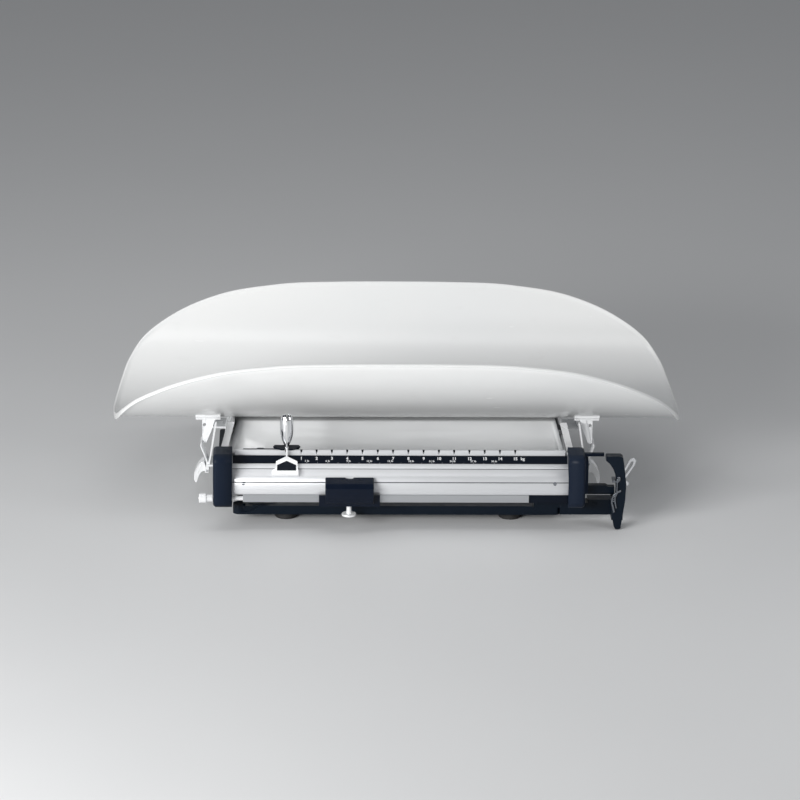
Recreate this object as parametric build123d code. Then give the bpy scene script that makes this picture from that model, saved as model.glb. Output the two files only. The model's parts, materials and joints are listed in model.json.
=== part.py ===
from build123d import *
import math
import os

os.makedirs("parts", exist_ok=True)

# ---------------------------------------------------------------- dimensions
# millimetres; X along the beam, Y from front to back, Z up, floor at z = 0
Y_SHIFT = 11.5           # tray centre line stands this far behind the origin
TRAY_FLOOR = 74.36       # inner lowest line of the tray above the floor
TRAY_R = 151.0           # inner radius of the trough
TRAY_T = 2.6             # wall of the tray
TRAY_TOP = 164.0         # highest point of the rim
TRAY_HALF_L = 275.6
TRAY_HALF_W = 137.0
RIM_OUT = 3.0            # rolled rim beyond the inner outline, at the ends
RIM_OUT_Y = 4.0          # and along the sides
RIM_SHAPE = [(0, 1.0), (8, 1.007), (16, 1.030), (24, 1.072), (32, 1.130), (40, 1.180),
             (48, 1.183), (56, 1.149), (66, 1.082), (78, 1.021), (90, 1.0)]

BASE_Z0, BASE_Z1 = 9.0, 17.0
BASE_FRONT = -133.0
BASE_BACK = 100.0
BASE_HALF_FRONT = 155.0
BASE_HALF_REAR = 176.0
SHEET = 3.0
FOOT_R = 11.0

COVER_TOP = 69.0
COVER_DRAFT = 0.30       # sideways run per mm of height
COVER_X_TOP = 155.5
COVER_Y_FRONT_TOP = -27.0
COVER_Y_BACK_TOP = 80.0
COVER_T = 2.0

PIVOT_X, PIVOT_Z = -133.0, 58.0      # beam fulcrum edge
LOAD_X = -153.0                      # beam load edge
CAP_L = (-177.5, -159.5)
CAP_R = (161.7, 177.6)
CAP_Y = (-157.0, -121.0)
CAP_Z = (22.5, 76.0)
BAR_Y = (-131.0, -128.6)             # notched bar
BAR_Z = (61.0, 73.5)
NOTCH_ZERO = -108.0
NOTCH_PITCH = 14.62
NOTCH_COUNT = 16
RAIL_X = (-149.0, 124.0)
POISE_X = -107.4
FINE_X = -47.4
LEVER_X = 125.0                      # lever fulcrum edges at plus and minus this
CARRY_X = 85.0                       # lever load edges
SIDE_X = 184.0                       # centre of the tray sockets
SIDE_Y = 60.0
LEV_Y = 26.0                         # middle of the lever works
KNIFE_Y = 48.0                       # knives to either side of it
ARM_Y = (-6.0, 56.0)                 # carrier arms through the cover sides

# ------------------------------------------------------------------- helpers


def box(x0, x1, y0, y1, z0, z1):
    return Pos((x0 + x1) / 2, (y0 + y1) / 2, (z0 + z1) / 2) * Box(abs(x1 - x0), abs(y1 - y0), abs(z1 - z0))


def cyl_x(y, z, r, x0, x1):
    return Pos((x0 + x1) / 2, y, z) * Rot(0, 90, 0) * Cylinder(r, abs(x1 - x0))


def cyl_y(x, z, r, y0, y1):
    return Pos(x, (y0 + y1) / 2, z) * Rot(90, 0, 0) * Cylinder(r, abs(y1 - y0))


def cyl_z(x, y, r, z0, z1):
    return Pos(x, y, (z0 + z1) / 2) * Cylinder(r, abs(z1 - z0))


def prism_x(pts, x0, x1, r=0):
    sk = Polygon(*pts, align=None)
    if r:
        sk = fillet(sk.vertices(), r)
    pl = Plane(origin=(x0, 0, 0), x_dir=(0, 1, 0), z_dir=(1, 0, 0))
    return extrude(pl * sk, amount=x1 - x0, dir=(1, 0, 0))


def prism_y(pts, y0, y1, r=0):
    sk = Polygon(*pts, align=None)
    if r:
        sk = fillet(sk.vertices(), r)
    pl = Plane(origin=(0, y1, 0), x_dir=(1, 0, 0), z_dir=(0, -1, 0))
    return extrude(pl * sk, amount=y1 - y0, dir=(0, -1, 0))


def prism_z(pts, z0, z1, r=0):
    sk = Polygon(*pts, align=None)
    if r:
        sk = fillet(sk.vertices(), r)
    return extrude(Pos(0, 0, z0) * sk, amount=z1 - z0, dir=(0, 0, 1))


def round_edges(solid, edges, r):
    try:
        out = fillet(edges, r)
        return out if out.is_valid else solid
    except Exception:
        return solid


def frustum(x, y0, y1, z0, z1, grow):
    # box with drafted walls: (x, y0, y1) at z1, larger by grow at z0
    top = Pos(0, 0, z1) * Rectangle(2 * x, y1 - y0, align=None)
    top = Pos(-x, y0, z1) * Rectangle(2 * x, y1 - y0, align=(Align.MIN, Align.MIN))
    bot = Pos(-x - grow, y0 - grow, z0) * Rectangle(2 * x + 2 * grow, y1 - y0 + 2 * grow, align=(Align.MIN, Align.MIN))
    return loft([bot, top])


nodes = {}


def keep(name, *solids):
    out = []
    for s in solids:
        out += [p.moved(Location((0, Y_SHIFT, 0))) for p in s.solids()]
    shape = Compound(children=out) if len(out) > 1 else out[0]
    shape.label = name
    nodes[name] = shape


def screw_z(x, y, z_head, r_head, h_head, r_shank, length, slot=1.0):
    # head above z_head, shank below
    s = cyl_z(x, y, r_head, z_head, z_head + h_head) + cyl_z(x, y, r_shank, z_head - length, z_head)
    return s - box(x - r_head, x + r_head, y - slot / 2, y + slot / 2, z_head + h_head - 0.8, z_head + h_head + 1)


def screw_y(x, z, y_head, r_head, h_head, r_shank, length, slot=0.9):
    # head in front (towards -Y) of y_head
    s = cyl_y(x, z, r_head, y_head - h_head, y_head) + cyl_y(x, z, r_shank, y_head, y_head + length)
    return s - box(x - r_head, x + r_head, y_head - h_head - 1, y_head - h_head + 0.6, z - slot / 2, z + slot / 2)


# ---------------------------------------------------------------- base group
FEET = [(-108, -112), (108, -112), (-148, 80), (148, 80)]
outline = [(-BASE_HALF_FRONT, BASE_FRONT), (BASE_HALF_FRONT, BASE_FRONT), (BASE_HALF_FRONT, -62), (BASE_HALF_REAR, -52),
           (BASE_HALF_REAR, BASE_BACK), (-BASE_HALF_REAR, BASE_BACK), (-BASE_HALF_REAR, -52), (-BASE_HALF_FRONT, -62)]
inner = [(-BASE_HALF_FRONT + SHEET, BASE_FRONT + SHEET), (BASE_HALF_FRONT - SHEET, BASE_FRONT + SHEET), (BASE_HALF_FRONT - SHEET, -60),
         (BASE_HALF_REAR - SHEET, -50), (BASE_HALF_REAR - SHEET, BASE_BACK - SHEET), (-BASE_HALF_REAR + SHEET, BASE_BACK - SHEET),
         (-BASE_HALF_REAR + SHEET, -50), (-BASE_HALF_FRONT + SHEET, -60)]
base = prism_z(outline, BASE_Z0, BASE_Z1, 4) - prism_z(inner, BASE_Z0 - 1, BASE_Z1 - SHEET, 2)
# front flange stands a little higher and drops in a curve at its left end
base = base + box(-140, 129, BASE_FRONT, BASE_FRONT + SHEET, BASE_Z1 - 2, BASE_Z1 + 0.8)
drop = [(-170, 11.5), (-146, 11.5), (-142.5, 12.1), (-139.5, 13.6), (-136.5, 15.7), (-134, 17.0), (-131, 17.8), (-131, 24), (-170, 24)]
base = base - prism_y(drop, BASE_FRONT - 1, BASE_FRONT + 1.3)
for bx in (-153, 150):
    base = base + cyl_z(bx, -127, 6.0, BASE_Z0, BASE_Z1 + 1.5)
for x, y in FEET:
    base = base - cyl_z(x, y, 2.2, BASE_Z0 - 1, BASE_Z1 + 1)
for x in (135, 141):
    base = base - cyl_z(x, -128, 1.7, BASE_Z0, BASE_Z1 + 1)
keep("base_frame", base)

feet = []
foot_screws = []
for x, y in FEET:
    f = cyl_z(x, y, FOOT_R, 0, BASE_Z1 - SHEET)
    f = round_edges(f, f.edges().group_by(Axis.Z)[0], 1.5)
    f = f - cyl_z(x, y, 5.0, -1, 4) - cyl_z(x, y, 2.2, 0, BASE_Z1)
    feet.append(f)
    foot_screws.append(cyl_z(x, y, 4.2, 1.6, 4.0) + cyl_z(x, y, 2.1, 4.0, BASE_Z1 + 1.8))
keep("rubber_feet", *feet)
keep("foot_screws", *foot_screws)

rise = COVER_TOP - BASE_Z1
grow = COVER_DRAFT * rise
shell = frustum(COVER_X_TOP, COVER_Y_FRONT_TOP, COVER_Y_BACK_TOP, BASE_Z1, COVER_TOP, grow)
shell = round_edges(shell, shell.edges().filter_by(lambda e: abs(e.tangent_at(0.5).Z) > 0.3), 5)
shell = round_edges(shell, shell.edges().group_by(Axis.Z)[-1], 2.2)
core = frustum(COVER_X_TOP - COVER_T, COVER_Y_FRONT_TOP + COVER_T, COVER_Y_BACK_TOP - COVER_T,
               BASE_Z1 - 1, COVER_TOP - COVER_T, grow)
cover = shell - core
# slots in the side walls for the carrier arms, window at the front for the lever nose
for sx in (-1, 1):
    for yy in ARM_Y:
        cover = cover - box(sx * 150, sx * 180, yy - 10.0, yy + 10.0, 47.5, 57.5)
cover = cover - box(-161, -145, -60, -20, BASE_Z1 - 1, 38)
keep("cover", cover)

# fixing lugs of the cover: small angle clips screwed to the base inside the skirt
clips, clip_screws = [], []
for sx in (-1, 1):
    for yy in (-10, 70):
        x0 = sx * 163.0
        c = box(min(x0, x0 - sx * 14), max(x0, x0 - sx * 14), yy - 6, yy + 6, BASE_Z1, BASE_Z1 + 2.0)
        c = c - cyl_z(x0 - sx * 8, yy, 2.0, BASE_Z1 - 1, BASE_Z1 + 4)
        clips.append(c)
        clip_screws.append(screw_z(x0 - sx * 8, yy, BASE_Z1 + 2.0, 3.6, 2.0, 1.95, 2.0))
keep("cover_clips", *clips)
keep("cover_clip_screws", *clip_screws)

# ------------------------------------------------------- beam fulcrum support
stand = box(-141, -125, -117, -101, BASE_Z1 + 2, 50)
stand = stand + box(-144, -118, -119, -97, BASE_Z1, BASE_Z1 + 3)
stand = round_edges(stand, stand.edges().filter_by(Axis.Z), 1.5)
for yy in (-121 + 24 - 3,):
    stand = stand - cyl_z(-121.2, yy - 8, 1.7, 0, 25)
keep("fulcrum_stand", stand)
vee = box(-138, -128, -116, -102, 50, 61)
vee = vee - prism_y([(PIVOT_X, PIVOT_Z - 0.15), (PIVOT_X - 6, PIVOT_Z + 6), (PIVOT_X + 6, PIVOT_Z + 6)], -125, -95)
keep("fulcrum_bearing", vee)

# ---------------------------------------------------------------- end guide
guide = box(130, 205, -134.6, -121, BASE_Z1 + 0.0, 22) + box(BASE_HALF_FRONT, 206, -134.6, -121, 10, 22)
guide = guide + box(203.5, 214.4, -150, -121, 10, 22) + box(181.6, 205, -134.6, -121, 17, 25.3)
upright = prism_y([(204.6, 12), (205, 24), (207.2, 30), (207.4, 47), (206.6, 55), (204.2, 61.5), (200.6, 67.0), (197, 70.0), (197, 74.2), (211.2, 74.2),
                   (213.4, 72.8), (215.4, 60), (217.0, 46), (216.4, 30), (214.2, 14), (212.6, 1.6), (211.4, 0.6), (207.6, 0.6), (205.8, 4)], -150, -140.2)
guide = guide + upright
guide = guide - cyl_z(150, -127, 6.0, 8, BASE_Z1 + 1.5)
for x in (135, 141):
    guide = guide - cyl_z(x, -128, 1.7, 8, 30) - cyl_z(x, -128, 2.8, 20.3, 30)
guide = round_edges(guide, guide.edges().filter_by(Axis.Y).filter_by(lambda e: e.center().Z > 60), 1.0)
guide = guide - cyl_y(211.3, 44, 1.85, -149, -139)
keep("end_guide", guide)
keep("guide_screws", *[screw_z(x, -128, 20.3, 2.7, 1.6, 1.6, 8.0) for x in (135, 141)])

F0, F1 = -151.5, -150.1
# folded strip: lower stop, its slanted ear, the link and the upper stop
index = prism_y([(211.9, 41.2), (208.6, 39.6), (204.8, 36.0), (203.2, 32.6), (202.6, 28.8), (203.9, 28.8), (204.5, 32.2), (205.8, 34.8), (209.2, 37.8), (212.2, 39.4)], F0, F1)
index = index + prism_y([(202.6, 28.8), (203.9, 28.8), (205.4, 24.0), (206.6, 18.6), (205.2, 17.8), (203.8, 23.4)], F0, F1)
index = index + prism_y([(207.6, 36.6), (208.7, 37.4), (206.9, 33.0), (207.2, 28.0), (208.3, 22.6), (207.3, 22.2), (206.1, 27.6), (205.8, 33.2)], F0, F1)
index = index + prism_y([(203.2, 28.9), (206.8, 28.9), (206.6, 30.1), (203.2, 30.1)], F0, F1)
index = index + prism_y([(207.6, 38.2), (208.5, 38.7), (208.6, 48.8), (207.7, 48.8)], F0, F1)
index = index + prism_y([(207.4, 48.2), (208.9, 48.2), (211.0, 50.6), (211.2, 53.4), (209.8, 54.4), (207.8, 52.0)], F0, F1)
index = index + box(203.2, 206.2, F1, -133, 28.8, 31.4) + box(203.4, 208.2, F0, F1, 48.8, 50.0) + box(203.4, 206.9, F0, -138.7, 48.6, 50.2)
keep("index_stop_plate", index)

# ------------------------------------------------------------- arrest lever
ax, az = 211.3, 44.0


def along(deg, r, side=0.0):
    a = math.radians(deg)
    return (ax + r * math.cos(a) - side * math.sin(a), az + r * math.sin(a) + side * math.cos(a))


loop_o = [along(60.6, 5, -2.8), along(60.6, 12, -3.4), along(60.6, 22, -3.8), along(60.6, 27.0, -2.6),
          along(60.6, 28.0, 0.4), along(60.6, 25.6, 2.8), along(60.6, 12, 2.6), along(60.6, 5, 2.4)]
loop_i = [along(60.6, 9.5, -1.5), along(60.6, 21.5, -2.0), along(60.6, 24.8, -0.9), along(60.6, 24.0, 1.0), along(60.6, 9.5, 0.9)]
arm = prism_y(loop_o, -138.1, -136.3) - prism_y(loop_i, -140, -135)
arm = arm + cyl_y(ax, az, 4.0, -138.1, -136.3) + cyl_y(ax, az, 2.6, -136.3, -133.2)
arm = arm + prism_y([(ax, az + 2.6), (218.6, 45.2), (220.2, 43.6), (220.0, 41.2), (218.0, 41.0), (ax, az - 2.6)], -138.1, -136.3)
ARREST = 45.0            # turn from free to held; the nose is drawn as held and turned back


def held(u, v):
    a = math.radians(-ARREST)
    return (ax + u * math.cos(a) - v * math.sin(a), az + u * math.sin(a) + v * math.cos(a))


nose = prism_y([held(-2.0, 0.5), held(-2.3, 3.6), held(-3.2, 4.3), held(-8.0, 4.3), held(-8.5, 5.2), held(-7.6, 6.8), held(-1.0, 6.8),
                held(2.3, 3.4), held(2.4, 0.5), held(0.0, -1.0)], -136.3, -133.2)
arm = arm + nose - cyl_y(ax, az, 1.6, -145, -130)
keep("arrest_lever", arm)
pin = cyl_y(ax, az, 1.5, -142.0, -131.0) + cyl_y(ax, az, 2.6, -132.6, -131.0) + cyl_y(ax, az, 1.8, -148.9, -140.2)
keep("arrest_pivot_screw", pin)

# --------------------------------------------------------------------- beam
front = [(-137.6, 62.2), (-143.4, 58.9), (-148.2, 54.4), (-151.2, 49.6), (-151.7, 48.6)]
prof_pts = ([(-124.0, 36.0), (-124.0, 71.0), (-128.6, 71.0), (-128.6, 61.0), (-131.0, 61.0), (-131.0, 68.2), (-131.6, 68.2)]
            + front + [(-151.1, 48.1), (-151.9, 47.6), (-152.2, 43.0), (-151.6, 37.0), (-150.2, 35.2), (-126.0, 35.2)])
BEAM_X = (-159.5, 161.7)
profile = prism_x(prof_pts, *BEAM_X)
hollow = [(-127.0, 39.5), (-127.0, 57.5), (-134.0, 57.5), (-140.5, 55.5), (-146.5, 49.5), (-148.4, 44.0), (-148.4, 39.5)]
profile = profile - prism_x(hollow, BEAM_X[0] - 1, BEAM_X[1] + 1)


def knife_down(x, z, y0, y1, w=3.4, h=9.0):
    return prism_y([(x, z), (x + w, z + 4.2), (x + w, z + h), (x - w, z + h), (x - w, z + 4.2)], y0, y1)


def knife_up(x, z, y0, y1, w=3.4, h=9.0):
    return prism_y([(x, z), (x + w, z - 4.2), (x + w, z - h), (x - w, z - h), (x - w, z - 4.2)], y0, y1)


beam_fulcrum = prism_y([(PIVOT_X, PIVOT_Z), (PIVOT_X + 3.4, PIVOT_Z + 4.2), (PIVOT_X + 3.4, PIVOT_Z + 7.5),
                        (PIVOT_X - 3.4, PIVOT_Z + 7.5), (PIVOT_X - 3.4, PIVOT_Z + 4.2)], -124.0, -100.5)
beam_load = knife_up(LOAD_X, PIVOT_Z, -124.0, -104.0, w=2.8, h=7.5)
pivot_plate = box(-158.0, -126.5, -123.9, -121.5, 46.0, 69.0)
pivot_plate = pivot_plate - beam_fulcrum - beam_load
pivot_plate = pivot_plate - cyl_y(-143, 64, 1.6, -126, -120) - cyl_y(-143, 50.0, 1.6, -126, -120)
profile = profile - cyl_y(-143, 64, 1.6, -128, -120) - cyl_y(-143, 50.0, 1.6, -128, -120)
pivot_plate = pivot_plate.moved(Location((0, -0.1, 0)))
beam_fulcrum = prism_y([(PIVOT_X, PIVOT_Z), (PIVOT_X + 3.4, PIVOT_Z + 4.2), (PIVOT_X + 3.4, PIVOT_Z + 7.5),
                        (PIVOT_X - 3.4, PIVOT_Z + 7.5), (PIVOT_X - 3.4, PIVOT_Z + 4.2)], -124.0, -100.5)
for x in (-148.6, 148.6):
    profile = profile - cyl_y(x, 47.2, 1.8, -154, -151.5) - cyl_y(x, 47.2, 1.05, -153, -149.5)
keep("beam_profile", profile)
keep("pivot_plate", pivot_plate)
keep("pivot_plate_screws", *[cyl_y(-143, z, 1.55, -127.0, -121.6) + cyl_y(-143, z, 3.0, -121.6, -119.8) for z in (64, 50.0)])
keep("fulcrum_knife", beam_fulcrum)
keep("load_knife", beam_load)

bar = box(-157.0, 159.2, BAR_Y[0], BAR_Y[1], BAR_Z[0], BAR_Z[1])
for i in range(NOTCH_COUNT):
    x = NOTCH_ZERO + i * NOTCH_PITCH
    bar = bar - prism_y([(x - 0.5, BAR_Z[1] - 3.6), (x + 0.5, BAR_Z[1] - 3.6), (x + 1.3, BAR_Z[1] + 1), (x - 1.3, BAR_Z[1] + 1)],
                        BAR_Y[0] - 1, BAR_Y[1] + 1)
keep("notch_bar", bar)

# black numeral strip on the sloping face below the notches
n = math.hypot(6.0, 6.0)
sx0, sz0 = -131.6, 68.2
sx1, sz1 = -137.6, 62.2
off = 0.5 / math.sqrt(2)
strip = prism_x([(sx0, sz0), (sx1, sz1), (sx1 - off, sz1 + off), (sx0 - off, sz0 + off)], -158.8, 161.0)
keep("scale_strip", strip)

cap_pts = [(CAP_Y[0], CAP_Z[0]), (CAP_Y[1], CAP_Z[0]), (CAP_Y[1], CAP_Z[1]), (CAP_Y[0], CAP_Z[1])]


def cap(x0, x1, outer):
    c = prism_x(cap_pts, x0, x1, 8.0)
    edges = c.edges().group_by(Axis.X)[0 if outer < 0 else -1]
    return round_edges(c, edges, 3.2)


plug = [(-127.4, 39.9), (-127.4, 57.1), (-134.2, 57.1), (-140.3, 55.1), (-146.2, 49.2), (-148.0, 43.9), (-148.0, 39.9)]
cap_l = cap(CAP_L[0], CAP_L[1], -1) + prism_x(plug, CAP_L[1] - 1, CAP_L[1] + 12)
cap_l = cap_l - cyl_x(-148.2, 30.8, 2.28, -180, -150)
cap_r = cap(CAP_R[0], CAP_R[1], 1) + prism_x(plug, CAP_R[0] - 12, CAP_R[0] + 1)
cap_r = cap_r + box(CAP_R[1] - 1, 195.6, -144.5, -139.5, 72.5, 75.0)
flange = prism_x([(-149, 36), (-131, 36), (-131, 71.6), (-140, 71.6), (-146, 68), (-149, 62)], CAP_R[1] - 1, CAP_R[1] + 3.0)
cap_r = cap_r + flange
tongue = prism_x([(-139.6, 41.4), (-132.4, 41.4), (-132.4, 34.0), (-134.0, 32.0), (-138.0, 32.0), (-139.6, 34.0)], CAP_R[1] + 3.0, 206.6)
tongue = tongue - prism_y([(198.0, 45.0), (198.0, 41.4), (200.5, 40.0), (208.0, 40.0), (208.0, 45.0)], -141, -131)
keep("beam_cap_left", cap_l)
keep("beam_cap_right", cap_r)
keep("tongue", tongue)

# small cross screws that hold the caps, on the front face of the profile
keep("beam_screws", *[screw_y(x, 47.2, -151.5, 1.7, 0.8, 1.0, 1.6, 0.5) for x in (-148.6, 148.6)])

rail = box(RAIL_X[0], RAIL_X[1], -151.0, -146.4, 27.6, 35.2)
rail = round_edges(rail, rail.edges().filter_by(Axis.X).group_by(Axis.Z)[0], 0.6)
rail = rail - cyl_x(-148.2, 30.8, 2.3, RAIL_X[0] - 1, RAIL_X[0] + 14)
keep("beam_rail", rail)
keep("rail_block_right", box(RAIL_X[1], 161.7, -149.5, -140.0, 27.0, 35.2))

# zero screw: knurled head outside the left cap, rod through to the rail
zk = cyl_x(-148.2, 30.8, 4.6, -191.0, -184.0)
zk = round_edges(zk, zk.edges().filter_by(GeomType.CIRCLE), 0.6)
zk = zk + cyl_x(-148.2, 30.8, 3.6, -184.0, -178.0) + cyl_x(-148.2, 30.8, 2.2, -184.0, -137.0)
for k in range(10):
    a = 2 * math.pi * k / 10
    zk = zk - cyl_x(-148.2 + 4.9 * math.cos(a), 30.8 + 4.9 * math.sin(a), 0.55, -192, -184.6)
keep("zero_screw", zk)

# --------------------------------------------------------------- main poise
px = POISE_X
carriage = prism_z([(px - 13.0, -124.2), (px - 12.6, -126.4), (px - 5.0, -133.6), (px + 5.0, -133.6), (px + 12.6, -126.4), (px + 13.0, -124.2)], 74.0, 75.4)
carriage = carriage - box(px - 2.2, px + 2.2, -136, -128.4, 70, 80)
carriage = carriage + box(px - 12, px + 12, -123.4, -121.0, 40.0, 75.4)
carriage = carriage + box(px - 41.6, px - 8.0, -128.2, -127.1, 71.6, 73.9) + box(px - 12.0, px - 8.0, -128.2, -122.8, 71.6, 74.2)
keep("main_poise_carriage", carriage)
weight = box(px - 15, px + 15, -121.0, -99.5, 38.0, 62.0)
weight = round_edges(weight, weight.edges(), 2.5)
keep("main_poise_weight", weight)
hood_pts_o = [(-135.0, 76.2), (-135.6, 71.6), (-139.8, 65.6), (-145.2, 62.2), (-149.2, 59.2), (-152.6, 56.8), (-152.9, 55.2), (-151.6, 54.6)]
hood_pts_i = [(-149.4, 55.0), (-147.6, 57.4), (-144.0, 60.2), (-138.8, 62.9), (-134.2, 69.2), (-133.7, 74.0), (-133.7, 76.2)]
hood = prism_x(hood_pts_o + hood_pts_i, px - 14.5, px + 12.5)
outl = prism_z([(px - 0.8, -130), (px + 0.8, -130), (px + 0.8, -137.2), (px + 10.2, -140.0), (px + 10.6, -147.0), (px + 11.4, -149.5), (px + 11.2, -156),
                (px - 13.6, -156), (px - 14.2, -149.5), (px - 10.6, -147.0), (px - 10.2, -140.0), (px - 0.8, -137.2)], 40, 90)
hood = (hood & outl) + box(px - 0.7, px + 0.7, -134.4, -133.0, 74.8, 76.2)
keep("main_poise_pointer", hood)
inlay = prism_x([(-139.8, 65.6), (-145.2, 62.2), (-149.2, 59.2), (-149.5, 59.6), (-145.5, 62.65), (-140.1, 66.05)], px - 12.5, px + 12.5)
inlay = inlay & prism_z([(px, -140.3), (px + 9.0, -144.6), (px + 9.1, -149.4), (px - 9.1, -149.4), (px - 9.0, -144.6)], 40, 90)
keep("main_poise_inlay", inlay)
# two curved leaf-shaped blades form the finger grip
tulip = [(0, 77.0), (1.4, 77.0), (2.6, 79.4), (4.6, 83.6), (6.0, 88.6), (6.5, 93.6), (6.4, 101.0), (5.9, 105.4), (4.9, 108.0),
         (4.2, 107.7), (5.1, 105.1), (5.6, 101.0), (5.7, 93.7), (5.2, 88.9), (3.9, 84.0), (1.9, 80.2), (0, 80.2)]
cup = Pos(px, -130.5, 0) * revolve(Plane.XZ * Polygon(*tulip, align=None), axis=Axis.Z)
blades = [cup & box(*sorted((px + s * 0.7, px + s * 10)), -140, -120, 70, 110) for s in (-1, 1)]
keep("main_poise_grip", *blades)
knife = prism_y([(px - 0.7, 80.5), (px - 0.7, 77.0), (px - 1.8, 76.0), (px, 73.9), (px + 1.8, 76.0), (px + 0.7, 77.0), (px + 0.7, 80.5)], -133.0, -128.8)
keep("main_poise_knife", knife)

# --------------------------------------------------------------- fine poise
fx = FINE_X
slider = box(fx - 29.1, fx + 29.1, -156.0, -144.2, 25.2, 36.4)
slider = slider - box(fx - 30, fx + 30, -152.8, -145.9, 27.2, 40) - box(fx - 30, fx + 30, -146.5, -143, 34.8, 40)
slider = slider + box(fx - 20, fx + 20, -152.9, -151.4, 28.5, 34.4)
slider = slider - cyl_z(fx - 0.4, -148.7, 2.0, 20, 30)
keep("fine_poise_slider", slider)
blk = prism_x([(-153.0, 53.6), (-160.2, 49.6), (-163.4, 45.6), (-163.8, 40.0), (-163.6, 33.5), (-161.6, 30.0), (-158.0, 28.6), (-156.0, 28.6),
               (-156.0, 36.8), (-153.0, 36.8)], fx - 23.15, fx + 23.15)
blk = round_edges(blk, [e for e in blk.edges().filter_by(Axis.X) if abs(e.center().Z - 49.6) < 0.3 or abs(e.center().Z - 45.6) < 0.3], 1.5)
blk = round_edges(blk, [e for e in blk.edges() if abs(abs(e.center().X - fx) - 23.15) < 0.01 and e.center().Y < -157.0], 1.2)
blk = blk - prism_y([(fx - 5.6, 55), (fx - 3.0, 52.4), (fx + 3.0, 52.4), (fx + 5.6, 55)], -156.5, -150)
keep("fine_poise_body", blk)
ts = cyl_z(fx - 0.4, -148.7, 1.9, 16.0, 27.3) + cyl_z(fx - 0.4, -148.7, 6.9, 13.8, 16.0) + cyl_z(fx - 0.4, -148.7, 2.4, 16.0, 24.4)
ts = round_edges(ts, ts.edges().filter_by(GeomType.CIRCLE).filter_by(lambda e: e.radius > 6), 0.7)
keep("fine_poise_thumb_screw", ts)

# ------------------------------------------------------------------- levers
ML_Z = (26.0, 34.0)
yc = LEV_Y
main = box(-158.0, 130.0, yc - 5, yc + 5, *ML_Z) + box(79, 131, yc - 42, yc + 42, *ML_Z)
main = main - box(91, 119, yc - 32, yc - 8, 20, 40) - box(91, 119, yc + 8, yc + 32, 20, 40)
main = main + box(-158.0, -148.0, -116, yc + 5, *ML_Z)
main = round_edges(main, main.edges().filter_by(Axis.Z), 1.2)
keep("main_lever", main)
SL_Z = (38.0, 45.0)
short = box(-130.0, 6.0, yc - 5, yc + 5, *SL_Z) + box(-131, -79, yc - 42, yc + 42, *SL_Z)
short = short - box(-119, -91, yc - 32, yc - 8, 30, 50) - box(-119, -91, yc + 8, yc + 32, 30, 50)
short = round_edges(short, short.edges().filter_by(Axis.Z), 1.2)
keep("short_lever", short)


def lever_knives(x_f, x_l, zc, name_f, name_l):
    f, l = [], []
    for s in (-1, 1):
        a, b = sorted((yc + s * 42.0, yc + s * 54.0))
        f.append(prism_y([(x_f, zc - 3.4), (x_f + 2.6, zc), (x_f + 2.6, zc + 3.0), (x_f - 2.6, zc + 3.0), (x_f - 2.6, zc)], a, b))
        l.append(prism_y([(x_l, zc + 3.4), (x_l + 2.6, zc), (x_l + 2.6, zc - 3.0), (x_l - 2.6, zc - 3.0), (x_l - 2.6, zc)], a, b))
    keep(name_f, *f)
    keep(name_l, *l)


lever_knives(LEVER_X, CARRY_X, 30.0, "main_lever_fulcrum_knives", "main_lever_load_knives")
lever_knives(-LEVER_X, -CARRY_X, 41.5, "short_lever_fulcrum_knives", "short_lever_load_knives")
stands, pads = [], []
for x, z in ((LEVER_X, 26.6), (-LEVER_X, 38.1)):
    for s in (-1, 1):
        yb = yc + s * KNIFE_Y
        stands.append(box(x - 7, x + 7, yb - 5, yb + 5, BASE_Z1, z - 4.0))
        pads.append(box(x - 5, x + 5, yb - 4.5, yb + 4.5, z - 4.0, z + 2.5)
                    - prism_y([(x, z - 0.15), (x - 5, z + 6.3), (x + 5, z + 6.3)], yb - 8, yb + 8))
keep("lever_stands", *stands)
keep("lever_bearings", *pads)

# shackle between the two levers, stirrup between beam and main lever
shackle = box(-3.0, 3.0, yc - 9.0, yc + 9.0, 22.0, 49.0) - box(-4, 4, yc - 5.6, yc + 5.6, 25.4, 45.6)
keep("lever_shackle", shackle)
link = box(-159.8, -146.2, -113.6, -109.4, 21.5, 63.0) - box(-158.6, -147.4, -115, -108, 25.4, 36.0) - box(-157.2, -148.8, -115, -108, 45.0, PIVOT_Z + 0.15)
keep("load_link", link)

# ------------------------------------------------------------------ carrier
frame_z = (50.0, 55.0)
carrier = box(-92, -78, -27.5, 79.5, *frame_z) + box(78, 92, -27.5, 79.5, *frame_z)
for yy in ARM_Y:
    carrier = carrier + box(-174, 174, yy - 8, yy + 8, *frame_z)
for sx in (-1, 1):
    carrier = carrier - prism_y([(sx * 158.6, 74.5), (sx * 230.0, 74.5), (sx * 230.0, 38.0), (sx * 167.8, 38.0)], -90, 110)
keep("carrier_frame", carrier)
saddles = []
for sx, ztop in ((1, 33.4), (-1, 44.9)):
    for s in (-1, 1):
        x, yb = sx * CARRY_X, yc + s * KNIFE_Y
        leg = box(x - 5, x + 5, yb - 4.5, yb + 4.5, ztop - 2.0, 50.0)
        leg = leg - prism_y([(x, ztop + 0.15), (x - 5, ztop - 6.3), (x + 5, ztop - 6.3)], yb - 8, yb + 8)
        saddles.append(leg)
nodes_saddles = saddles

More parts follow.
